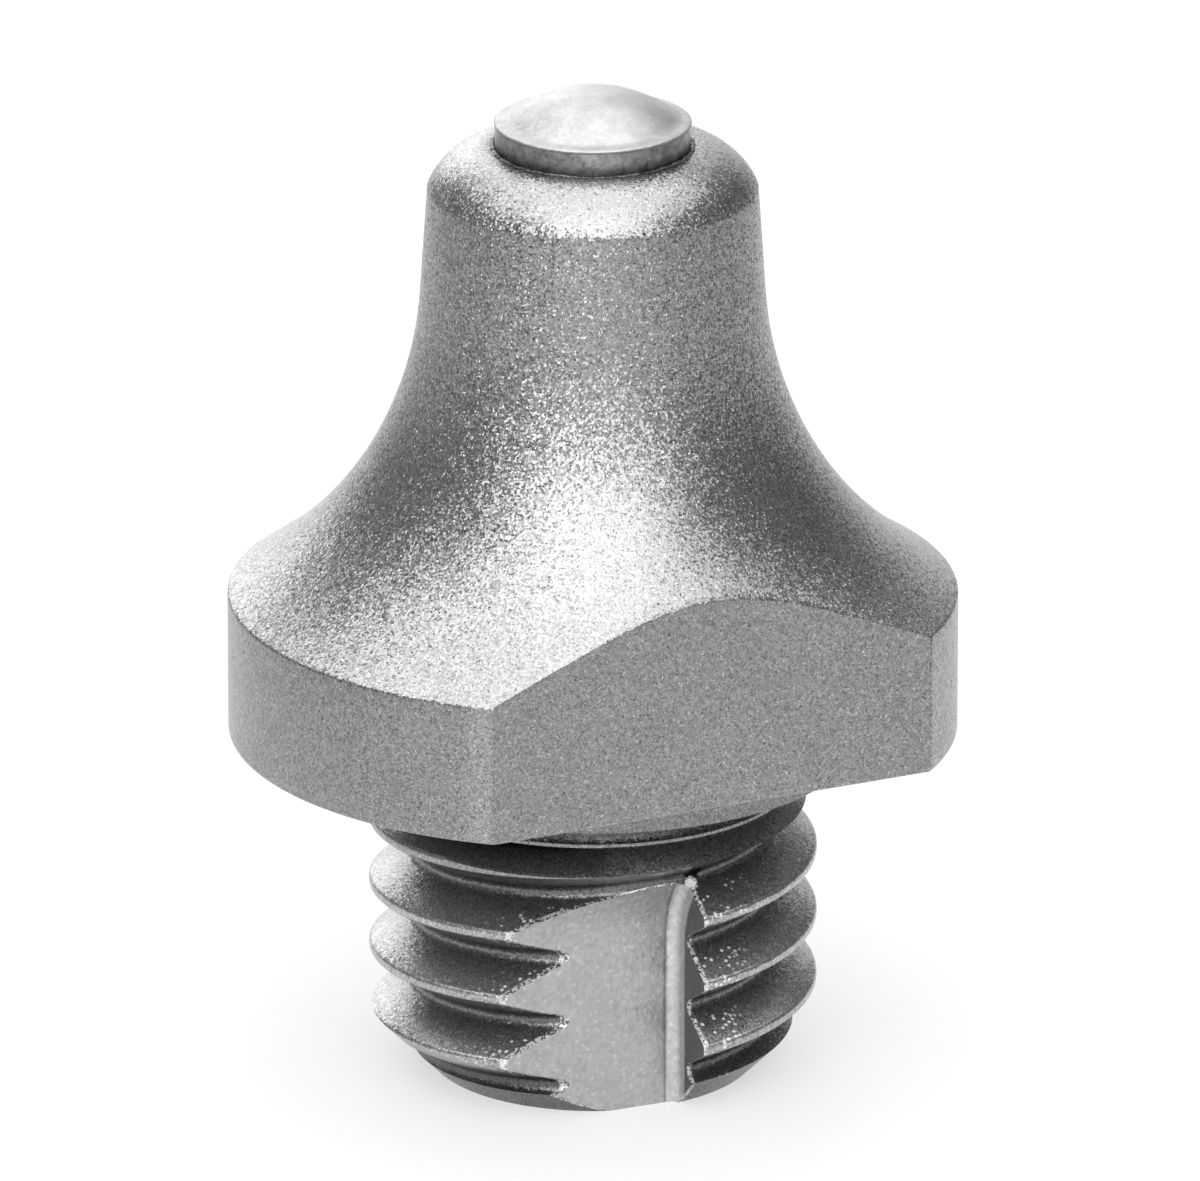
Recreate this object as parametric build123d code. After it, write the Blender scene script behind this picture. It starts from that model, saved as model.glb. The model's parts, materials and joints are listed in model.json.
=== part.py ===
"""Screw-in ice stud: a turned steel body with a coarse thread, and a carbide pin in its top.

Millimetres. The origin is the centre of the thread's end face and +Z runs up the axis to the pin.
The two wrench flats face -Y and +Y. Angles are measured round Z from +X.
"""
import math
import os

from build123d import *

# Wrench flange
flange_diameter = 16.0
flange_height = 3.13
across_flats = 12.0
edge_break = 0.08

# Concave flare, tapered neck and rounded shoulder above the flange
flare_top = 10.0            # where the flare runs into the neck, above the flange's underside
neck_draft = 3.9            # degrees
neck_top_diameter = 7.21
body_top = 13.34            # mouth of the pin's bore, above the flange's underside
shoulder_drop = 0.94        # from the mouth down to the neck's top edge

# Washer face, relief groove and collar below the flange
boss_diameter = 11.4
boss_height = 0.5
relief_diameter = 8.1
relief_length = 0.7
collar_diameter = 8.8
collar_height = 0.1

# Thread
reach = 7.75                # flange's underside to the end face
major_diameter = 9.86
pitch = 1.5
flank_angle = 30.0          # degrees, each side of the groove's centre line
crest_flat = 0.19
root_flat = 0.235
tip_chamfer = 1.34
crest_bearing = 244.3       # degrees: on this bearing the first crest lies first_crest below the flange
first_crest = 1.71

# Flute milled along one side of the thread
flute_bearing = 267.8       # degrees, the way its floor faces
flute_floor = 3.43          # from the axis
flute_wall = 0.52           # side wall, from the axis
flute_corner = 0.28
flute_runout_radius = 2.4
flute_runout_start = 4.0    # below the flange's underside

# Carbide pin
pin_diameter = 4.3
pin_stand = 0.54            # straight wall above the body
pin_dome = 0.71             # rim to apex
pin_rim_radius = 0.12
pin_seat_depth = 5.0
pin_foot_chamfer = 0.3
braze_gap = 0.02

underside = reach           # height of the flange's underside above the end face
collar_top = underside - boss_height - relief_length
collar_foot = collar_top - collar_height
bore_radius = pin_diameter / 2 + braze_gap
bore_floor = underside + body_top - pin_seat_depth


def turned(outline):
    """Solid of revolution about Z from a closed outline drawn as (radius, height)."""
    return revolve(Plane.XZ * make_face(outline), Axis.Z)


def head():
    """Collar, relief, boss, flange, flare, neck and shoulder, turned in one outline up to the bore's edge."""
    neck_edge = (neck_top_diameter / 2, underside + body_top - shoulder_drop)
    slope = math.tan(math.radians(neck_draft))
    flare_start = (neck_edge[0] + (neck_edge[1] - underside - flare_top) * slope, underside + flare_top)
    rim = (flange_diameter / 2, underside + flange_height)
    foot = (flange_diameter / 2, underside)
    mouth = (bore_radius, underside + body_top)
    below = [
        (0, bore_floor), (0, collar_foot), (collar_diameter / 2, collar_foot),
        (collar_diameter / 2, collar_top), (relief_diameter / 2, collar_top),
        (relief_diameter / 2, underside - boss_height), (boss_diameter / 2, underside - boss_height),
        (boss_diameter / 2, underside), (foot[0] - edge_break, foot[1]), (foot[0], foot[1] + edge_break), rim,
    ]
    flare = TangentArc(flare_start, rim, tangent=(slope, -1))
    shoulder = TangentArc(mouth, neck_edge, tangent=(1, 0))
    bore = Polyline(mouth, (bore_radius, bore_floor), (0, bore_floor))
    return turned(Polyline(*below) + flare + Line(flare_start, neck_edge) + shoulder + bore)


def wrench_flats():
    """The two blocks that are milled off the flange and the foot of the flare."""
    waste = flange_diameter
    block = Box(2 * waste, waste, body_top, align=(Align.CENTER, Align.MIN, Align.MIN))
    far = Pos(0, across_flats / 2, underside) * block
    return far + mirror(far, Plane.XZ)


def thread_blank():
    """Threaded length before cutting: chamfered at the tip and up to the collar."""
    radius = major_diameter / 2
    lead = radius - collar_diameter / 2
    return turned(Polyline(
        (0, 0), (radius - tip_chamfer, 0), (radius, tip_chamfer), (radius, collar_foot - lead),
        (collar_diameter / 2, collar_foot), (0, collar_foot), (0, 0),
    ))


def groove_turn():
    """One turn of the right-hand groove, with straight flanks and a flat root, from height 0."""
    slope = math.tan(math.radians(flank_angle))
    crest = major_diameter / 2
    half_gap = (pitch - crest_flat) / 2
    overrun = crest_flat / 4 / slope
    mouth = (crest + overrun, half_gap + overrun * slope)
    root = (crest - (half_gap - root_flat / 2) / slope, root_flat / 2)
    outline = Polyline((mouth[0], -mouth[1]), (root[0], -root[1]), root, mouth, (mouth[0], -mouth[1]))
    return sweep(Plane.XZ * make_face(outline), Helix(pitch, pitch, mouth[0]), is_frenet=True)


def thread():
    """The blank with the groove cut turn by turn, from below the tip to past the collar."""
    first_groove = underside - first_crest - pitch / 2
    turns = math.ceil(collar_foot / pitch) + 3
    turn = Rot(0, 0, crest_bearing) * groove_turn()
    screw = thread_blank()
    for count in range(turns):
        screw -= Pos(0, 0, first_groove + (2 - count) * pitch) * turn
    return screw


def flute_cutter():
    """Flat-floored cut with one side wall, a filleted corner and an arc that runs out at its top."""
    runout = underside - flute_runout_start
    clear = major_diameter
    centre = (flute_floor + flute_runout_radius, runout)
    reach_out = (centre[0], runout + flute_runout_radius)
    floor = Line((flute_floor, -pitch), (flute_floor, runout))
    arc = RadiusArc((flute_floor, runout), reach_out, flute_runout_radius)
    rest = Polyline(reach_out, (clear, reach_out[1]), (clear, -pitch), (flute_floor, -pitch))
    side = make_face(floor + arc + rest)
    slab = Pos(0, flute_wall, 0) * extrude(Plane.XZ * side, clear)
    wall = slab.faces().sort_by(Axis.Y)[-1]
    corner = [edge for edge in wall.edges() if edge.center().X < flute_floor + flute_runout_radius / 2]
    return Rot(0, 0, flute_bearing) * fillet(corner, flute_corner)


def stud_body():
    return head() - wrench_flats() + (thread() - flute_cutter())


def carbide_pin():
    """Straight pin with a chamfered foot and a domed end with a rounded rim."""
    radius = pin_diameter / 2
    rim = underside + body_top + pin_stand
    foot = bore_floor
    dome_radius = (radius**2 + pin_dome**2) / (2 * pin_dome)
    sides = Polyline(
        (0, rim + pin_dome), (0, foot), (radius - pin_foot_chamfer, foot),
        (radius, foot + pin_foot_chamfer), (radius, rim),
    )
    dome = RadiusArc((radius, rim), (0, rim + pin_dome), -dome_radius)
    pin = turned(sides + dome)
    rings = [edge for edge in pin.edges().filter_by(GeomType.CIRCLE) if edge.is_closed]
    return fillet(max(rings, key=lambda edge: edge.center().Z), pin_rim_radius)


os.makedirs("parts", exist_ok=True)
for name, solid in (("stud_body", stud_body()), ("carbide_pin", carbide_pin())):
    export_step(solid, f"parts/{name}.step")
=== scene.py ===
# %% [markdown]
# # A screw-in ice stud
# The stud is a small turned part: a threaded end, a wrench flange that flares up into a neck, and a hard
# pin brazed into the top. This lesson loads the solid model as a frame, models the body and the pin again
# with fine meshes, gives them a blasted-metal and a sintered-carbide finish, and lights them in a small
# white studio.

# %% Load the frame
import json
import math

import bmesh
import bpy
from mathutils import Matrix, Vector

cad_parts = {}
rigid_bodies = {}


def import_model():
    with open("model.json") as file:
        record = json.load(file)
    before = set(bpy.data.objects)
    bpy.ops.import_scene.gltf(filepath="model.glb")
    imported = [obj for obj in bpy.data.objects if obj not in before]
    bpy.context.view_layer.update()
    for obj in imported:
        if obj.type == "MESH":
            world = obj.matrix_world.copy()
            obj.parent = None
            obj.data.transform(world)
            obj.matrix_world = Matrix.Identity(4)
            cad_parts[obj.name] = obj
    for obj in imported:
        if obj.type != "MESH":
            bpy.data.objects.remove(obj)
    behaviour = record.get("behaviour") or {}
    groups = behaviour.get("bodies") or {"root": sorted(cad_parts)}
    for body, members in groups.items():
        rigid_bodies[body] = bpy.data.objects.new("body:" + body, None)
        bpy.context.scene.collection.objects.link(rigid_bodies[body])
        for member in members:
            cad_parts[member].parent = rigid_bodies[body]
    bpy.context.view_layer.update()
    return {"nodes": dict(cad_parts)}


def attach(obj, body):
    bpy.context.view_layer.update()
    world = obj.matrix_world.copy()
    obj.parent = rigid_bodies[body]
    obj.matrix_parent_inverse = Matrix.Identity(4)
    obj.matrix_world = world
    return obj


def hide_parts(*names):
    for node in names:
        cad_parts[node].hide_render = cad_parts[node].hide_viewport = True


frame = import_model()
MM = 0.001

# %% [markdown]
# The sizes below are the turned part's own: the same driving dimensions that the solid model has, in
# millimetres. Heights are counted from the thread's end face, which stands on the floor.

# %% Sizes of the stud
FLANGE_R = 8.0
FLANGE_HEIGHT = 3.13
ACROSS_FLATS = 12.0
FLARE_TOP = 10.0
NECK_DRAFT = math.radians(3.9)
NECK_TOP_R = 3.605
BODY_TOP = 13.34
SHOULDER_DROP = 0.94
BOSS_R = 5.7
BOSS_HEIGHT = 0.5
RELIEF_R = 4.05
RELIEF_LENGTH = 0.7
COLLAR_R = 4.4
COLLAR_HEIGHT = 0.1

UNDERSIDE = 7.75
CREST_R = 4.93
PITCH = 1.5
FLANK = math.radians(30)
CREST_FLAT = 0.19
ROOT_ROUND = 0.2
TIP_CHAMFER = 1.34
CREST_BEARING = 244.3
FIRST_CREST = 1.71

FLUTE_BEARING = math.radians(267.8)
FLUTE_FLOOR = 3.43
FLUTE_WALL = 0.52
FLUTE_CORNER = 0.28
FLUTE_RUNOUT_R = 2.4
FLUTE_RUNOUT_START = 4.0

PIN_R = 2.15
PIN_STAND = 0.54
PIN_DOME = 0.71
PIN_SEAT = 5.0
PIN_FOOT_CHAMFER = 0.3
BRAZE_GAP = 0.02

COLLAR_TOP = UNDERSIDE - BOSS_HEIGHT - RELIEF_LENGTH
COLLAR_FOOT = COLLAR_TOP - COLLAR_HEIGHT
MOUTH = UNDERSIDE + BODY_TOP
BORE_R = PIN_R + BRAZE_GAP
BORE_FLOOR = MOUTH - PIN_SEAT

# %% [markdown]
# ## Turning
# A lathe part can be spun from a profile, or built up ring by ring: a circle is drawn, extruded and scaled,
# again and again, the way a potter raises a wall. Rings are chosen here because every ring then has the
# same number of corners, which keeps the mesh even and easy to cut.

# %% Turning with rings
ROUND = 224


def deselect_all():
    bpy.ops.object.select_all(action="DESELECT")


def turned(name, profile, corners=ROUND):
    """A closed turned mesh from (radius, height) points in mm, the first and last rings capped."""
    deselect_all()
    radius, height = profile[0]
    bpy.ops.mesh.primitive_circle_add(
        vertices=corners, radius=radius * MM, location=(0, 0, height * MM), fill_type="NGON")
    piece = bpy.context.object
    piece.name = piece.data.name = name
    bpy.ops.object.transform_apply(location=True)
    bpy.ops.object.mode_set(mode="EDIT")
    for new_radius, new_height in profile[1:]:
        bpy.ops.mesh.extrude_region_move(
            TRANSFORM_OT_translate={"value": (0, 0, (new_height - height) * MM)})
        grow = new_radius / radius
        bpy.ops.transform.resize(value=(grow, grow, 1), center_override=(0, 0, new_height * MM))
        radius, height = new_radius, new_height
    bpy.ops.mesh.select_all(action="SELECT")
    bpy.ops.mesh.normals_make_consistent(inside=False)
    bpy.ops.object.mode_set(mode="OBJECT")
    return piece


def arc(centre, radius, start, end, steps):
    """Points on an arc, angles in radians from the radius axis towards up."""
    return [
        (centre[0] + radius * math.cos(start + (end - start) * k / steps),
         centre[1] + radius * math.sin(start + (end - start) * k / steps))
        for k in range(steps + 1)
    ]


def tangent_arc(start, direction, end, steps):
    """An arc that leaves start along a direction and ends at end."""
    direction = Vector(direction).normalized()
    side = Vector((-direction.y, direction.x))
    chord = Vector(end) - Vector(start)
    radius = chord.length_squared / (2 * chord.dot(side))
    centre = Vector(start) + side * radius
    first = math.atan2(start[1] - centre.y, start[0] - centre.x)
    turn = Vector((start[0] - centre.x, start[1] - centre.y)).angle_signed(
        Vector((end[0] - centre.x, end[1] - centre.y)))
    return arc(centre, abs(radius), first, first - turn, steps)


# %% [markdown]
# ## The head
# The head is one outline: up the bore, over the rounded shoulder, down the tapered neck and the concave
# flare to the rim, and back under the flange to the relief groove and its collar. A short core reaches
# down inside the thread, so that the two can be joined into one body afterwards. Real edges are never
# sharp, so the rim and the boss have small rounds in the outline itself.

# %% The head's outline
RIM_ROUND = 0.05
BOSS_ROUND = 0.04
NECK_ROUND = 0.04
BORE_BREAK = 0.015
CORE_R = FLUTE_FLOOR - 0.3
CORE_FOOT = 1.0


def corner(at, before, after, radius, steps=3):
    """A small round at a corner, between the points before and after it."""
    into = (Vector(before) - Vector(at)).normalized() * radius
    out = (Vector(after) - Vector(at)).normalized() * radius
    shares = [k / steps for k in range(steps + 1)]
    return [tuple(Vector(at) + into * (1 - share) ** 2 + out * share ** 2) for share in shares]


def straight(start, end, steps):
    """The points between two ends, without the ends."""
    return [
        (start[0] + (end[0] - start[0]) * k / steps, start[1] + (end[1] - start[1]) * k / steps)
        for k in range(1, steps)
    ]


def head_outline():
    """From the bore's floor over the shoulder to the core's foot. The relief is one concave run."""
    neck_edge = (NECK_TOP_R, MOUTH - SHOULDER_DROP)
    taper = math.tan(NECK_DRAFT)
    flare_start = (NECK_TOP_R + (neck_edge[1] - UNDERSIDE - FLARE_TOP) * taper, UNDERSIDE + FLARE_TOP)
    rim = (FLANGE_R, UNDERSIDE + FLANGE_HEIGHT)
    shoulder = tangent_arc((BORE_R, MOUTH), (1, 0), neck_edge, 20)
    flare = tangent_arc(flare_start, (taper, -1), rim, 64)
    outline = [(BORE_R, BORE_FLOOR), (BORE_R, MOUTH - 4 * BORE_BREAK)]
    outline += [(BORE_R + BORE_BREAK, MOUTH - BORE_BREAK)] + shoulder[1:-1]
    outline += corner(neck_edge, shoulder[-2], flare_start, NECK_ROUND, 2)
    outline += straight(neck_edge, flare_start, 12)
    outline += flare[:-1]
    outline += corner(rim, flare[-2], (FLANGE_R, UNDERSIDE), RIM_ROUND)
    outline += straight(rim, (FLANGE_R, UNDERSIDE), 10)
    outline += corner((FLANGE_R, UNDERSIDE), rim, (BOSS_R, UNDERSIDE), RIM_ROUND)
    outline += [(BOSS_R + BOSS_ROUND, UNDERSIDE), (BOSS_R, UNDERSIDE - BOSS_ROUND)]
    foot = UNDERSIDE - BOSS_HEIGHT
    outline += corner((BOSS_R, foot), (BOSS_R, UNDERSIDE), (RELIEF_R, foot), RIM_ROUND)
    outline += tangent_arc((COLLAR_R + 0.1, foot), (-1, -0.8), (COLLAR_R - 0.03, COLLAR_TOP), 10)
    outline += [(COLLAR_R, COLLAR_TOP - 0.02), (COLLAR_R, COLLAR_FOOT)]
    outline += [(CORE_R, COLLAR_FOOT), (CORE_R, CORE_FOOT)]
    return outline


head = turned("stud_body_finish", head_outline())
print("head:", len(head.data.vertices), "corners")

# %% [markdown]
# The wrench flats are two plain cuts. A bisect with a fill is the quickest clean cut there is, and it gives
# the arch where each flat runs up into the flare. Corners that the cut leaves too close together are
# merged. They are sorted first, by their distance from one far point, so that the same ones go on every
# run. Then an inset round each new face, with its outer edge moved in a hair, takes the knife sharpness
# off.

# %% Wrench flats
FLAT_MERGE = 0.04
SORT_FROM = (0.3, 0.1, 0.2)
FLAT_BORDER = 0.05
FLAT_SOFTEN = 0.012


def cut_flat(piece, side):
    """Cut one wrench flat, side -1 for the front and 1 for the back."""
    bpy.context.view_layer.objects.active = piece
    bpy.ops.object.mode_set(mode="EDIT")
    bpy.ops.mesh.select_all(action="SELECT")
    plane = side * ACROSS_FLATS / 2 * MM
    bpy.ops.mesh.bisect(
        plane_co=(0, plane, 0), plane_no=(0, side, 0), use_fill=True, clear_outer=True, threshold=1e-7)
    bpy.ops.mesh.select_all(action="DESELECT")
    bpy.ops.mesh.select_mode(type="FACE")
    mesh = bmesh.from_edit_mesh(piece.data)
    for face in mesh.faces:
        face.select_set(abs(face.normal.y * side - 1) < 1e-4 and len(face.verts) > 8)
    bmesh.update_edit_mesh(piece.data)
    bpy.context.scene.cursor.location = SORT_FROM
    bpy.ops.mesh.sort_elements(type="CURSOR_DISTANCE", elements={"VERT"})
    bpy.ops.mesh.remove_doubles(threshold=FLAT_MERGE * MM)
    bpy.ops.mesh.inset(thickness=FLAT_BORDER * MM)
    bpy.ops.mesh.select_mode(type="VERT")
    mesh = bmesh.from_edit_mesh(piece.data)
    inner = {vert for face in mesh.faces if face.select for vert in face.verts}
    bpy.ops.mesh.select_all(action="DESELECT")
    for vert in mesh.verts:
        vert.select_set(abs(vert.co.y - plane) < 1e-7 and vert not in inner)
    mesh.select_flush_mode()
    bmesh.update_edit_mesh(piece.data)
    bpy.ops.transform.translate(value=(0, -side * FLAT_SOFTEN * MM, 0))
    bpy.ops.object.mode_set(mode="OBJECT")


cut_flat(head, -1)
cut_flat(head, 1)
print("head with flats:", len(head.data.vertices), "corners")

# %% [markdown]
# ## The thread
# A coarse thread shapes the outline, so it is real geometry. One pitch of its profile is drawn point by
# point, and a Screw modifier winds it up the axis: a right-hand helix with rounded roots and crests.

# %% Winding the thread
CREST_ROUND = 0.07
THREAD_STEPS = 192
THREAD_TURNS = 8
TURNS_BELOW = 5


def thread_profile():
    """One pitch from crest centre to crest centre as (radius, rise), in mm."""
    slope = math.tan(FLANK)
    half_gap = (PITCH - CREST_FLAT) / 2
    apex = CREST_R - half_gap / slope
    tangent_r = apex + ROOT_ROUND * math.cos(FLANK) / slope
    tangent_z = ROOT_ROUND * math.cos(FLANK)
    middle = PITCH / 2
    root = (tangent_r, middle - tangent_z)
    rise = [(CREST_R, 0.0)]
    rise += corner((CREST_R, CREST_FLAT / 2), (CREST_R, 0), root, CREST_ROUND)
    rise += straight((CREST_R, CREST_FLAT / 2), root, 4)[1:]
    rise += [
        (apex + 2 * ROOT_ROUND - ROOT_ROUND * math.cos(angle), middle + ROOT_ROUND * math.sin(angle))
        for angle in [math.radians(-60 + 20 * k) for k in range(4)]
    ]
    return rise + [(radius, PITCH - height) for radius, height in reversed(rise[:-1])]


def draw_path(name, points):
    """A mesh of one open line through points in mm, drawn by extruding a single vertex."""
    deselect_all()
    bpy.ops.mesh.primitive_plane_add(size=MM, location=[c * MM for c in points[0]])
    piece = bpy.context.object
    piece.name = piece.data.name = name
    bpy.ops.object.transform_apply(location=True)
    bpy.ops.object.mode_set(mode="EDIT")
    bpy.ops.mesh.merge(type="CENTER")
    for here, there in zip(points, points[1:]):
        step = [(b - a) * MM for a, b in zip(here, there)]
        bpy.ops.mesh.extrude_region_move(TRANSFORM_OT_translate={"value": step})
    bpy.ops.object.mode_set(mode="OBJECT")
    return piece


def apply_modifiers(piece):
    deselect_all()
    piece.select_set(True)
    bpy.context.view_layer.objects.active = piece
    for modifier in list(piece.modifiers):
        bpy.ops.object.modifier_apply(modifier=modifier.name)


def close_ends(piece):
    """Close both open ends with a fan to one point each, and turn all faces outwards."""
    bpy.context.view_layer.objects.active = piece
    bpy.ops.object.mode_set(mode="EDIT")
    bpy.ops.mesh.select_all(action="SELECT")
    bpy.ops.mesh.remove_doubles(threshold=1e-6)
    heights = [vert.co.z for vert in bmesh.from_edit_mesh(piece.data).verts]
    middle = sum(heights) / len(heights)
    for side in (-1, 1):
        bpy.ops.mesh.select_mode(type="EDGE")
        bpy.ops.mesh.select_all(action="DESELECT")
        mesh = bmesh.from_edit_mesh(piece.data)
        for edge in mesh.edges:
            height = (edge.verts[0].co.z + edge.verts[1].co.z) / 2
            edge.select_set(edge.is_boundary and (height - middle) * side > 0)
        bmesh.update_edit_mesh(piece.data)
        bpy.ops.mesh.extrude_region_move()
        bpy.ops.mesh.merge(type="CENTER")
    bpy.ops.mesh.select_mode(type="VERT")
    bpy.ops.mesh.select_all(action="SELECT")
    bpy.ops.mesh.normals_make_consistent(inside=False)
    bpy.ops.object.mode_set(mode="OBJECT")


def wound_thread():
    crest_at_x_axis = UNDERSIDE - FIRST_CREST - PITCH * CREST_BEARING / 360
    start = crest_at_x_axis - TURNS_BELOW * PITCH
    thread = draw_path("thread", [(radius, 0, start + rise) for radius, rise in thread_profile()])
    screw = thread.modifiers.new("screw", "SCREW")
    screw.angle = math.tau
    screw.screw_offset = PITCH * MM
    screw.iterations = THREAD_TURNS
    screw.steps = screw.render_steps = THREAD_STEPS
    screw.use_merge_vertices = True
    screw.merge_threshold = 1e-6
    apply_modifiers(thread)
    close_ends(thread)
    return thread


thread = wound_thread()
print("thread:", len(thread.data.vertices), "corners")

# %% [markdown]
# The wound thread is longer than it should be. A turned blank with the tip's chamfer and the lead-in cone
# under the collar trims it: the two are intersected, and only what lies in both is left. The flute's
# cutter brings a material of its own, so that the faces it cuts can look milled and not blasted.

# %% Trimming and fluting the thread
BLANK_CLEAR = 0.4
CONE_R = COLLAR_R + 0.01
OVERLAP = 0.09
RUNOUT_STEP = math.radians(5)


def cut(piece, tool, operation):
    """Combine a piece with a tool and delete the tool."""
    modifier = piece.modifiers.new(operation.lower(), "BOOLEAN")
    modifier.object = tool
    modifier.operation = operation
    modifier.solver = "EXACT"
    modifier.material_mode = "TRANSFER"
    apply_modifiers(piece)
    bpy.data.objects.remove(tool)
    return piece


def blank():
    """A cylinder clear of the crests, with the tip's chamfer below and a cone into the collar above."""
    clear = CREST_R + BLANK_CLEAR
    return turned("blank", [
        (CREST_R - TIP_CHAMFER, 0), (clear, TIP_CHAMFER + clear - CREST_R),
        (clear, COLLAR_FOOT - (clear - CONE_R)), (CONE_R - OVERLAP, COLLAR_FOOT + OVERLAP),
    ])


def flute_cutter():
    """A face with one filleted corner, pushed up along the floor and out round the run-out."""
    runout = UNDERSIDE - FLUTE_RUNOUT_START
    clear = 2 * CREST_R
    fillet = arc((FLUTE_FLOOR + FLUTE_CORNER, FLUTE_WALL - FLUTE_CORNER), FLUTE_CORNER,
                 math.pi, math.pi / 2, 6)
    section = [(FLUTE_FLOOR, -clear)] + fillet + [(clear, FLUTE_WALL), (clear, -clear)]
    cutter = draw_path("flute", [(out, along, -1.0) for out, along in section])
    bpy.ops.object.mode_set(mode="EDIT")
    bpy.ops.mesh.select_all(action="SELECT")
    bpy.ops.mesh.edge_face_add()
    path = [(0.0, -1.0), (0.0, runout)] + [
        (FLUTE_RUNOUT_R * (1 - math.cos(RUNOUT_STEP * k)), runout + FLUTE_RUNOUT_R * math.sin(RUNOUT_STEP * k))
        for k in range(1, 15)
    ]
    for here, there in zip(path, path[1:]):
        step = ((there[0] - here[0]) * MM, 0, (there[1] - here[1]) * MM)
        bpy.ops.mesh.extrude_region_move(TRANSFORM_OT_translate={"value": step})
    bpy.ops.mesh.select_all(action="SELECT")
    bpy.ops.mesh.normals_make_consistent(inside=False)
    bpy.ops.object.mode_set(mode="OBJECT")
    cutter.rotation_euler.z = FLUTE_BEARING
    bpy.ops.object.transform_apply(rotation=True)
    return cutter


blasted = bpy.data.materials.new("blasted_steel")
milled = bpy.data.materials.new("milled_steel")
head.data.materials.append(blasted)
thread.data.materials.append(blasted)
tool = blank()
tool.data.materials.append(blasted)
thread = cut(thread, tool, "INTERSECT")
tool = flute_cutter()
tool.data.materials.append(milled)
thread = cut(thread, tool, "DIFFERENCE")
body = cut(head, thread, "UNION")
print("body:", len(body.data.vertices), "corners,", len(body.data.polygons), "faces")

# %% [markdown]
# ## The pin
# The pin is sintered and its wall is ground: a straight wall, a flat lip inside its rim, and a dome that
# rises from a small hollow. It stands in the bore on its floor.

# %% The pin
LIP = 0.24
LIP_ROUND = 0.05
LIP_RISE = 0.05
GROUND_OFF = 0.02
DOME_POWER = 2.15
DOME_STEPS = 28


def pin_outline():
    """From the chamfered foot up the wall and over the lip, down into the hollow and up the dome."""
    rim = MOUTH + PIN_STAND
    wall = PIN_R - GROUND_OFF
    dome_r = PIN_R - LIP
    dome_foot = rim + LIP_RISE
    apex = rim + PIN_DOME
    height = apex - dome_foot
    outline = [(0.05, BORE_FLOOR), (PIN_R - PIN_FOOT_CHAMFER, BORE_FLOOR)]
    outline += [(PIN_R, BORE_FLOOR + PIN_FOOT_CHAMFER), (PIN_R, MOUTH - 0.05)]
    outline += [(wall, MOUTH + 0.02), (wall, rim - 0.05), (wall + 0.01, rim - 0.035)]
    outline += [(PIN_R - 0.01, rim - 0.02), (PIN_R, rim)]
    outline += arc(
        (PIN_R - LIP_ROUND, rim - LIP_ROUND + 0.03), LIP_ROUND, math.radians(20), math.radians(78), 4)
    outline += [(dome_r + 0.11, dome_foot), (dome_r + 0.05, dome_foot + 0.006), (dome_r, dome_foot + 0.02)]
    shares = [1 - k / DOME_STEPS for k in range(1, DOME_STEPS)]
    return outline + [(dome_r * share, apex - height * share ** DOME_POWER) for share in shares]


pin = turned("carbide_pin_finish", pin_outline(), corners=160)
print("pin:", len(pin.data.vertices), "corners")

# %% [markdown]
# The pin is brazed in, and the braze stands round its foot as a fine, lumpy seam. It starts as a thin ring,
# is pressed flat, and then gets its lumps from a Displace modifier.

# %% The braze seam
SEAM = 0.055
SEAM_R = BORE_R + 0.01
SEAM_HEIGHT = MOUTH - 0.01
SEAM_SQUASH = 0.6
SEAM_LUMPS = 0.08
LUMP_SIZE = 0.14


def braze_seam():
    deselect_all()
    bpy.ops.mesh.primitive_torus_add(
        major_radius=SEAM_R * MM, minor_radius=SEAM * MM, major_segments=240, minor_segments=12,
        location=(0, 0, SEAM_HEIGHT * MM))
    seam = bpy.context.object
    seam.name = seam.data.name = "braze_seam"
    bpy.ops.object.transform_apply(location=True)
    bpy.ops.object.mode_set(mode="EDIT")
    bpy.ops.transform.resize(value=(1, 1, SEAM_SQUASH), center_override=(0, 0, SEAM_HEIGHT * MM))
    bpy.ops.object.mode_set(mode="OBJECT")
    lumps = bpy.data.textures.new("lumps", "CLOUDS")
    lumps.noise_scale = LUMP_SIZE * MM
    displace = seam.modifiers.new("lumps", "DISPLACE")
    displace.texture = lumps
    displace.texture_coords = "LOCAL"
    displace.strength = SEAM_LUMPS * MM
    apply_modifiers(seam)
    return seam


seam = braze_seam()
print("seam:", len(seam.data.vertices), "corners")

# %% [markdown]
# Edges sharper than an angle stay crisp, and all others are shaded smooth, with the large faces deciding
# where a corner's normal points. Then the two solids that the pieces replace are hidden, and each piece
# rides on the root body.

# %% Smooth shading and places in the frame
SMOOTH_ANGLE = math.radians(32)


def finish_mesh(piece):
    deselect_all()
    piece.select_set(True)
    bpy.context.view_layer.objects.active = piece
    bpy.ops.object.shade_smooth_by_angle(angle=SMOOTH_ANGLE)
    weighted = piece.modifiers.new("weighted", "WEIGHTED_NORMAL")
    weighted.keep_sharp = True
    apply_modifiers(piece)


for piece in (body, pin, seam):
    finish_mesh(piece)
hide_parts("stud_body")
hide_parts("carbide_pin")
for piece, slot in ((body, "steel"), (pin, "carbide"), (seam, "steel")):
    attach(piece, "root")

# %% [markdown]
# ## Shader maths
# A material is easier to read as sums than as wires. The small class below wraps a socket, so that an
# expression such as 1 - mask adds its own Math node. A second class adds every other kind of node.

# %% Sockets as numbers


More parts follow.
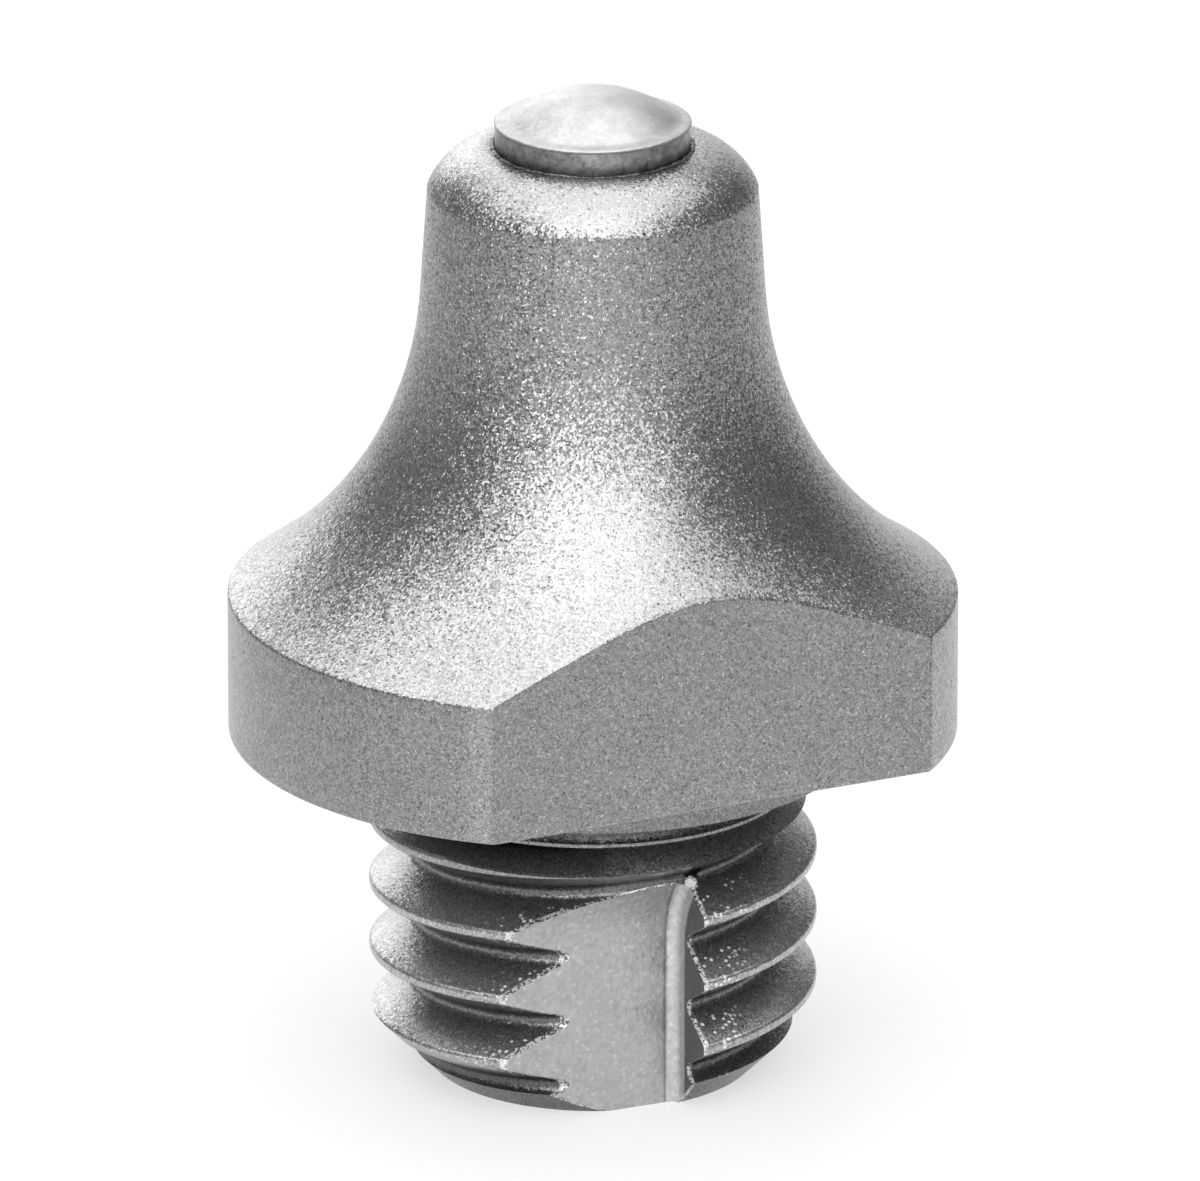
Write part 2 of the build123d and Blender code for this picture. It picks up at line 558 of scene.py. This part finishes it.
class Value:
    """One socket that can be added, subtracted, multiplied and divided."""

    def __init__(self, tree, socket):
        self.tree, self.socket = tree, socket

    def __add__(self, other):
        return self.tree.maths("ADD", self, other)

    def __radd__(self, other):
        return self.tree.maths("ADD", other, self)

    def __sub__(self, other):
        return self.tree.maths("SUBTRACT", self, other)

    def __rsub__(self, other):
        return self.tree.maths("SUBTRACT", other, self)

    def __mul__(self, other):
        return self.tree.maths("MULTIPLY", self, other)

    def __rmul__(self, other):
        return self.tree.maths("MULTIPLY", other, self)

    def __truediv__(self, other):
        return self.tree.maths("DIVIDE", self, other)

    def __rtruediv__(self, other):
        return self.tree.maths("DIVIDE", other, self)


class Wiring:
    """A node tree: node() adds a node, sets it up and returns one output as a Value."""

    def __init__(self, tree):
        self.nodes, self.links = tree.nodes, tree.links

    def node(self, kind, settings=None, inputs=None, output=0):
        made = self.nodes.new(kind)
        for key, setting in (settings or {}).items():
            setattr(made, key, setting)
        for key, value in (inputs or {}).items():
            self.feed(made.inputs[key], value)
        return Value(self, made.outputs[output])

    def feed(self, socket, value):
        if isinstance(value, Value):
            self.links.new(value.socket, socket)
        else:
            socket.default_value = value

    def maths(self, operation, first, second=0.0):
        return self.node("ShaderNodeMath", {"operation": operation}, {0: first, 1: second})

    def noise(self, place, scale, detail=2.0, roughness=0.5):
        return self.node("ShaderNodeTexNoise", {}, {
            "Vector": place, "Scale": scale, "Detail": detail, "Roughness": roughness})

    def ramp(self, value, low, high, bottom=0.0, top=1.0):
        """Value from bottom to top as the input goes from low to high, smoothly."""
        return self.node("ShaderNodeMapRange", {"interpolation_type": "SMOOTHSTEP"}, {
            "Value": value, "From Min": low, "From Max": high, "To Min": bottom, "To Max": top})

    def dot(self, vector, direction):
        return self.vector("DOT_PRODUCT", vector, direction, output="Value")

    def vector(self, operation, first, second=None, output=0):
        inputs = {0: first} if second is None else {0: first, 1: second}
        return self.node("ShaderNodeVectorMath", {"operation": operation}, inputs, output)

    def times(self, vector, factor):
        return self.node("ShaderNodeVectorMath", {"operation": "SCALE"}, {0: vector, "Scale": factor})

    def cells(self, place, scale):
        """Random colour per cell, with scale cells to a millimetre."""
        return self.node("ShaderNodeTexVoronoi", {}, {"Vector": place, "Scale": scale}, output="Color")

    def dots(self, place, scale, share):
        """Round dots in a share of the cells."""
        colour = self.cells(place, scale)
        distance = Value(self, colour.socket.node.outputs["Distance"])
        return self.ramp(self.split(colour)[0], 1 - share, 1.02 - share) * self.ramp(distance, 0.5, 0.3)

    def split(self, vector):
        parts = self.node("ShaderNodeSeparateXYZ", {}, {"Vector": vector})
        return [Value(self, parts.socket.node.outputs[k]) for k in range(3)]


class Finish(Wiring):
    """One Principled material."""

    def __init__(self, material):
        self.material = material
        material.use_nodes = True
        super().__init__(material.node_tree)
        self.shader = self.nodes["Principled BSDF"]

    def set(self, **inputs):
        """Set or wire the shader's inputs by name: base_color is Base Color."""
        for key, value in inputs.items():
            self.feed(self.shader.inputs[key.replace("_", " ").title()], value)

    def place(self):
        """Object coordinates in millimetres."""
        metres = self.node("ShaderNodeTexCoord", output="Object")
        return self.node("ShaderNodeMapping", {}, {"Vector": metres, "Scale": (1 / MM,) * 3})

    def from_axis(self, place):
        """Distance from the stud's axis."""
        return self.vector("LENGTH", self.vector("MULTIPLY", place, (1, 1, 0)), output="Value")

    def facets(self, random, wild, tilt, spread):
        """The surface normal, tipped at random from one tiny cell to the next, now and then by a lot."""
        surface = self.node("ShaderNodeNewGeometry", output="Normal")
        lean = self.vector("SUBTRACT", random, (0.5, 0.5, 0.5))
        lean = self.times(lean, tilt + spread * wild * wild * wild)
        return self.vector("NORMALIZE", self.vector("ADD", surface, lean))


# %% [markdown]
# ## The blasted steel
# The body was blasted before it was plated, so its skin is a field of tiny facets, each about 0.04 mm
# across. Their slopes throw the light about: next to a highlight the skin sparkles, and on a wall that
# faces the floor it is an even grey. Random cells tip the surface's normal for each facet, most of them a
# little and a few a lot, and give it a shade of its own. The thread was rolled, so it is calmer.
#
# Masks in millimetres then place painted shade in the recesses, a painted highlight beside the flats, burrs
# along the flute painted bright as glints, the pit, whose darkness is painted shade, and the chip at the top
# of the flute's wall.

# %% Blasted steel
THREAD_BAND = (COLLAR_FOOT + 0.05, COLLAR_FOOT - 0.05)
SHOULDER_BAND = (MOUTH - 0.95, MOUTH - 0.6)
COARSE_CELLS = 22.5
FINE_CELLS = 33.0
TILT = 0.23
WILD_TILT = 0.75
# Shade of the bare dots: the chip, and the burrs and specks, which are painted glints.
BARE_AND_GLINT_SHADE = 0.85
# A real pit, its dark inside painted as shade on the surface; and the chip.
PIT_SHADE, PIT_SHADE_R = (0.48, -3.99, 5.53), 0.33
CHIP, CHIP_R = (0.43, -4.03, 5.25), 0.22
RAGGED_EDGE = 0.07


def flute_depth(finish, place):
    """Depth of a point behind the flute's floor and run-out, and its distance along the flute's width."""
    out = finish.dot(place, (math.cos(FLUTE_BEARING), math.sin(FLUTE_BEARING), 0))
    along = finish.dot(place, (-math.sin(FLUTE_BEARING), math.cos(FLUTE_BEARING), 0))
    height = finish.split(place)[2]
    rise = finish.maths("MAXIMUM", height - (UNDERSIDE - FLUTE_RUNOUT_START), 0.0)
    reach = (FLUTE_FLOOR + FLUTE_RUNOUT_R) - out
    return finish.maths("SQRT", reach * reach + rise * rise) - FLUTE_RUNOUT_R, along


def spot(finish, place, centre, radius, ragged):
    """1 at a point and 0 beyond a radius, with a ragged edge."""
    far = finish.vector("DISTANCE", place, centre, output="Value")
    return finish.ramp(far + RAGGED_EDGE * ragged, radius, radius * 0.6)


def painted_shade_and_crest_highlight(steel, height, radius):
    """Painted shade in the thread's roots, under the flange, in the relief, on the tip and round the pin's
    foot, and a painted highlight on the crests.
    """
    threaded = steel.ramp(height, *THREAD_BAND)
    # Painted shade: the thread is darker towards its roots and towards the flange, with a painted highlight on
    # the crests.
    painted_thread_shade_and_highlight = steel.ramp(radius, 4.0, 4.88, 0.55, 1.0) * steel.ramp(radius, 4.86, 4.91, 1.0, 1.35)
    painted_thread_shade_and_highlight = 1 + (painted_thread_shade_and_highlight * steel.ramp(height, 4.6, 6.3, 1.0, 0.66) - 1) * threaded
    # Painted shade in the relief under the flange.
    relief = steel.ramp(height, 6.45, 6.6) * steel.ramp(height, 7.8, 7.7) * steel.ramp(radius, 5.8, 5.6)
    # Painted shade on the tip's chamfer.
    tip = steel.ramp(height, 1.25, 1.0)
    # Painted shade on the shoulder round the pin's foot.
    foot = steel.ramp(height, MOUTH - 0.25, MOUTH - 0.1) * steel.ramp(radius, 2.7, 2.15)
    return painted_thread_shade_and_highlight * (1 - 0.62 * relief) * (1 - 0.3 * tip) * (1 - 0.45 * foot)


def painted_wall_shade_and_highlight(steel, place, height, radius):
    """The flange's upright walls, darker by painted shade, with a painted highlight beside the flats' corners.
    """
    upright = steel.maths("ABSOLUTE", steel.split(steel.node("ShaderNodeNewGeometry", output="Normal"))[2])
    # Painted shade: faces that stand upright are darker.
    wall = steel.ramp(upright, 0.35, 0.15) * steel.ramp(radius, 5.85, 6.0) * steel.ramp(height, 7.7, 7.8)
    aside = steel.maths("ABSOLUTE", steel.split(place)[1])
    # Painted highlight on the wall beside the flats' corners.
    painted_corner_highlight = wall * steel.ramp(aside, 5.5, 5.75) * steel.ramp(aside, 5.985, 5.96)
    return 1 - 0.09 * wall + 0.14 * painted_corner_highlight


def burrs_and_painted_glints(steel, place, height, radius, dotted):
    """Burrs along the flute's edges, and specks on the flanks beside it, both painted bright as glints."""
    depth, along = flute_depth(steel, place)
    threaded = steel.ramp(height, *THREAD_BAND)
    width = steel.ramp(along, -2.8, -0.6, 0.15, 0.035)
    beside = steel.ramp(depth / width, 1.0, 0.7) * steel.ramp(along, 0.3, 0.1)
    wall_top = steel.ramp(along, 0.66, 0.6) * steel.ramp(along, 0.5, 0.52) * steel.ramp(depth, 0.0, -0.05)
    # Real burrs along the flute's edges, painted bright as glints.
    burr_and_glint = (beside + wall_top) * threaded * steel.ramp(dotted, 0.35, 0.5)
    near = steel.ramp(depth, 0.9, 0.2) * steel.ramp(along, 2.3, 1.2)
    near = near * steel.ramp(radius, 4.15, 4.35) * steel.ramp(height, 5.6, 5.4)
    # Specks on the flanks beside the flute, painted as glints.
    return burr_and_glint, near * steel.dots(place, 9.0, 0.3)


def grain_strength(steel, height):
    """The grain is strongest on the neck and calm on the shoulder and the thread."""
    threaded = steel.ramp(height, *THREAD_BAND)
    neck = steel.ramp(height, 13.8, 16.6, 0.82, 1.45)
    shoulder = steel.ramp(height, *SHOULDER_BAND, 1.0, 0.55)
    return neck * shoulder * (1 - 0.4 * threaded) * (1 - 0.4 * threaded * steel.ramp(height, 5.3, 6.0))


def blasted_steel(material):
    """Grey facets with marks, painted shade and painted highlights. Burrs, specks and the chip are bare and
    not metallic; burrs and specks are painted glints.
    """
    steel = Finish(material)
    place = steel.place()
    height = steel.split(place)[2]
    radius = steel.from_axis(place)
    coarse = steel.cells(place, COARSE_CELLS)
    light, deep, dotted = steel.split(coarse)
    fine, fleck, wild = steel.split(steel.cells(place, FINE_CELLS))
    blotches = steel.noise(place, 1.4, 2.0, 0.5)
    even = steel.ramp(height, *SHOULDER_BAND, 1.0, 0.6)
    shade = 0.315 + (0.14 * (light - 0.5) + 0.15 * (fine - 0.5)) * even + (blotches - 0.5) * 0.05
    shade = shade * (1 - 0.25 * steel.ramp(deep, 0.93, 0.97)) * (1 + 0.6 * steel.ramp(fleck, 0.95, 0.97))
    # Painted shade and painted highlights in the recesses, on the crests and on the flange's wall.
    shade = shade * painted_shade_and_crest_highlight(steel, height, radius) * painted_wall_shade_and_highlight(steel, place, height, radius)
    # The pit's darkness is painted shade.
    shade = shade * (1 - 0.95 * spot(steel, place, PIT_SHADE, PIT_SHADE_R, light))

    burr_and_glint, painted_glint_speck = burrs_and_painted_glints(steel, place, height, radius, dotted)
    chip = spot(steel, place, CHIP, CHIP_R, light)
    # Burrs and specks are painted glints, bright bare dots; the chip is bare.
    bare = 1 - (1 - chip) * (1 - 0.6 * burr_and_glint) * (1 - 0.7 * painted_glint_speck)
    shade = shade + (BARE_AND_GLINT_SHADE - shade) * bare
    grain = grain_strength(steel, height)
    steel.set(base_color=shade, metallic=1 - bare, roughness=0.26 + 0.1 * fine,
              normal=steel.facets(coarse, wild, TILT * grain, WILD_TILT * grain))


# %% [markdown]
# The flute was milled after the blasting, so it is smoother and lighter. Its corner has a painted highlight,
# a bright band between a painted dark line on the floor and the side wall, which is darkened by painted shade.

# %% Milled steel


def milled_steel(material):
    steel = Finish(material)
    place = steel.place()
    depth, along = flute_depth(steel, place)
    mottle = steel.noise(place, 8.0, 3.0, 0.6)
    soft = steel.noise(place, 2.5, 1.0, 0.5)
    specks, _, _ = steel.split(steel.cells(place, 16.0))
    bump = steel.node("ShaderNodeBump", {}, {
        "Strength": 1.0, "Distance": 0.02 * MM, "Height": mottle}, output="Normal")
    shade = 0.455 + 0.30 * (mottle - 0.5) + 0.10 * (soft - 0.5) + 0.10 * steel.ramp(specks, 0.93, 0.96)
    # Painted shade on the side wall, a painted dark line on the floor, and a painted highlight on the corner
    # between them.
    wall = steel.ramp(along, FLUTE_WALL - 0.09, FLUTE_WALL - 0.02) * steel.ramp(depth, -0.34, -0.46)
    line = steel.ramp(along, FLUTE_WALL - 0.36, FLUTE_WALL - 0.30) * steel.ramp(
        along, FLUTE_WALL - 0.24, FLUTE_WALL - 0.29)
    fillet = steel.ramp(along, FLUTE_WALL - 0.28, FLUTE_WALL - 0.24) * (1 - wall)
    shade = shade * (1 - 0.68 * wall) * (1 - 0.35 * line) * (1 + 0.3 * fillet)
    steel.set(base_color=shade, metallic=1.0, roughness=0.4, normal=bump)


# %% [markdown]
# The braze is dull, dark and grainy.

# %% Braze


def braze_metal(material):
    braze = Finish(material)
    place = braze.place()
    grains = braze.cells(place, 21.0)
    light, fleck, wild = braze.split(grains)
    shade = 0.05 + 0.10 * light + 0.10 * braze.ramp(fleck, 0.88, 0.94)
    braze.set(base_color=shade, metallic=1.0, roughness=0.42, normal=braze.facets(grains, wild, 0.3, 0.6))


# %% [markdown]
# The pin's dome is as it left the furnace, pale, mottled and satin. Its wall was ground to size, so it is
# smoother, darker and mottled, and painted shade darkens it further towards its foot, where it meets the body.

# %% Sintered carbide


def sintered_carbide(material):
    carbide = Finish(material)
    place = carbide.place()
    height = carbide.split(place)[2]
    radius = carbide.from_axis(place)
    mottle = carbide.noise(place, 2.4, 3.0, 0.6)
    cells = carbide.cells(place, 20.0)
    grains, fleck, wild = carbide.split(cells)
    rim = MOUTH + PIN_STAND
    wall = carbide.ramp(height, rim - 0.01, rim - 0.04)
    lip = carbide.ramp(radius, PIN_R - LIP - 0.06, PIN_R - LIP) * (1 - wall)
    # Painted shade: darker towards the pin's foot, where it meets the body.
    foot = carbide.ramp(height, MOUTH + 0.3, MOUTH + 0.02)
    shade = carbide.ramp(mottle, 0.3, 0.7, 0.39, 0.46) + 0.06 * (grains - 0.5) - 0.025 * lip
    wall_mottle = carbide.noise(place, 4.5, 3.0, 0.65)
    ground = carbide.ramp(wall_mottle, 0.3, 0.7, 0.15, 0.33) * (1 - 0.65 * foot)
    ground = ground + 0.06 * carbide.ramp(fleck, 0.95, 0.98)
    shade = shade + (ground - shade) * wall
    carbide.set(base_color=shade, metallic=1.0, roughness=0.5 - 0.2 * wall,
                normal=carbide.facets(cells, wild, 0.08, 0.16))


# %% [markdown]
# The two solids that the fine meshes replace get the same materials, in case they are shown.

# %% Painting the pieces
braze = bpy.data.materials.new("braze_metal")
carbide = bpy.data.materials.new("sintered_carbide")


def paint(piece, material):
    piece.data.materials.clear()
    piece.data.materials.append(material)


blasted_steel(blasted)
milled_steel(milled)
braze_metal(braze)
sintered_carbide(carbide)
paint(pin, carbide)
paint(seam, braze)
for node, finish in (("stud_body", blasted), ("carbide_pin", carbide)):
    paint(frame["nodes"][node], finish)
print("body slots:", [slot.material.name for slot in body.material_slots])

# %% [markdown]
# ## The studio
# The stud stands on a white sweep. A metal shows what is round it: the floor gives its upright walls an
# even grey, a bright ceiling and a bright strip over the front make the white patch on the flare and the
# shoulder, and darker sides give the form its shadows.

# %% Floor and world
VIEW_AZIMUTH = math.radians(-25.68)
FLOOR_SIZE = 1.2
LEFT_GREY = 0.28
RIGHT_GREY = 0.18
BACKDROP = 1.2
CEILING = 2.6
CEILING_EDGE = [math.sin(math.radians(angle)) for angle in (33, 56)]
FRONT_STRIP = 3.3
STRIP_LEFT = [math.radians(angle) for angle in (-54, -30)]
STRIP_RIGHT = [math.radians(angle) for angle in (56, 31)]
STRIP_FOOT = [math.sin(math.radians(angle)) for angle in (4, 24)]
WINDOW = 2.9
POOL_EDGE = (0.018, 0.085)


def direction(azimuth, elevation):
    """Unit vector, with the azimuth counted from the front towards +X."""
    return Vector((math.sin(azimuth) * math.cos(elevation),
                   -math.cos(azimuth) * math.cos(elevation), math.sin(elevation)))


def studio_floor():
    """Paper that glows round the stud and fades to both sides."""
    deselect_all()
    bpy.ops.mesh.primitive_plane_add(size=FLOOR_SIZE, location=(0, 0, 0))
    floor = bpy.context.object
    floor.name = "floor"
    paper = Finish(bpy.data.materials.new("pale_paper"))
    metres = paper.node("ShaderNodeTexCoord", output="Object")
    aside = paper.maths("ABSOLUTE", paper.dot(metres, direction(VIEW_AZIMUTH + math.pi / 2, 0)))
    pool = paper.ramp(aside, *POOL_EDGE, 1.0, 0.12)
    ahead = paper.dot(metres, direction(VIEW_AZIMUTH, 0))
    pool = pool * paper.ramp(ahead, 0.04, 0.08, 1.0, 1.5)
    paper.set(base_color=(0.25, 0.25, 0.25, 1), roughness=0.9, emission_color=pool, emission_strength=0.6)
    paint(floor, paper.material)


def studio_world():
    """Grey sides, a white ceiling, and a white strip that comes down over the front."""
    world = bpy.data.worlds.new("studio")
    world.use_nodes = True
    sky = Wiring(world.node_tree)
    way = sky.node("ShaderNodeTexCoord", output="Generated")
    front = sky.dot(way, direction(VIEW_AZIMUTH, 0))
    right = sky.dot(way, direction(VIEW_AZIMUTH + math.pi / 2, 0))
    height = sky.dot(way, (0, 0, 1))
    azimuth = sky.maths("ARCTAN2", right, front)
    ceiling = sky.ramp(height - 0.05 * right, *CEILING_EDGE)
    strip = (sky.ramp(azimuth, *STRIP_LEFT) * sky.ramp(azimuth, *STRIP_RIGHT)
             * sky.ramp(height, *STRIP_FOOT))
    grey = sky.ramp(right, -0.7, 0.7, LEFT_GREY, RIGHT_GREY)
    grey = grey + (BACKDROP - grey) * sky.ramp(front, -0.80, -0.96)
    above = grey + (CEILING - grey) * ceiling
    glow = above + (FRONT_STRIP - above) * strip * sky.ramp(height, 0.98, 0.8)
    window = direction(VIEW_AZIMUTH + math.radians(-165), math.radians(18))
    glow = glow + (WINDOW - glow) * sky.ramp(sky.dot(way, window), 0.915, 0.985)
    background = sky.nodes["Background"]
    background.inputs["Color"].default_value = (1, 1, 1, 1)
    sky.feed(background.inputs["Strength"], glow)
    bpy.context.scene.world = world


studio_floor()
studio_world()

# %% [markdown]
# ## The camera
# The photograph was taken through a long lens from the left and a little above. A camera 400 mm away
# with a matching lens draws the stud at the same scale and from the same angle.

# %% Camera at the photograph's angle
VIEW_ELEVATION = math.radians(19.72)
VIEW_DISTANCE = 400.0
PIXELS_PER_MM = 45.68
IMAGE_WIDTH = 1200
AIM_RIGHT = 0.156
AIM_HEIGHT = UNDERSIDE + 3.076


def add_camera():
    right = Vector((math.cos(VIEW_AZIMUTH), math.sin(VIEW_AZIMUTH), 0))
    aim = (right * AIM_RIGHT + Vector((0, 0, AIM_HEIGHT))) * MM
    back = direction(VIEW_AZIMUTH, VIEW_ELEVATION)
    camera = bpy.data.objects.new("camera", bpy.data.cameras.new("camera"))
    bpy.context.collection.objects.link(camera)
    camera.data.sensor_width = 36.0
    camera.data.lens = camera.data.sensor_width * VIEW_DISTANCE * PIXELS_PER_MM / IMAGE_WIDTH
    camera.data.clip_start = 0.01
    camera.data.clip_end = 10.0
    camera.location = aim + back * VIEW_DISTANCE * MM
    camera.rotation_mode = "QUATERNION"
    camera.rotation_quaternion = (-back).to_track_quat("-Z", "Y")
    bpy.context.scene.camera = camera


add_camera()

# %% [markdown]
# ## Light
# The sky does most of the lighting. One soft box above the camera gives the floor its gentle shadow.

# %% Soft light


def soft_box(name, azimuth, elevation, distance, width, height, radiance):
    """A rectangle of light that faces the stud. Radiance 1 looks like white paper."""
    towards = direction(VIEW_AZIMUTH + math.radians(azimuth), math.radians(elevation))
    lamp = bpy.data.objects.new(name, bpy.data.lights.new(name, "AREA"))
    bpy.context.collection.objects.link(lamp)
    lamp.data.shape = "RECTANGLE"
    lamp.data.size = width
    lamp.data.size_y = height
    lamp.data.energy = radiance * math.pi * width * height
    lamp.location = towards * distance + Vector((0, 0, UNDERSIDE * MM))
    lamp.rotation_mode = "QUATERNION"
    lamp.rotation_quaternion = (-towards).to_track_quat("-Z", "Y")


soft_box("front_box", azimuth=-3, elevation=45, distance=0.60, width=0.30, height=0.36, radiance=0.3)
bpy.context.scene.view_settings.view_transform = "Standard"
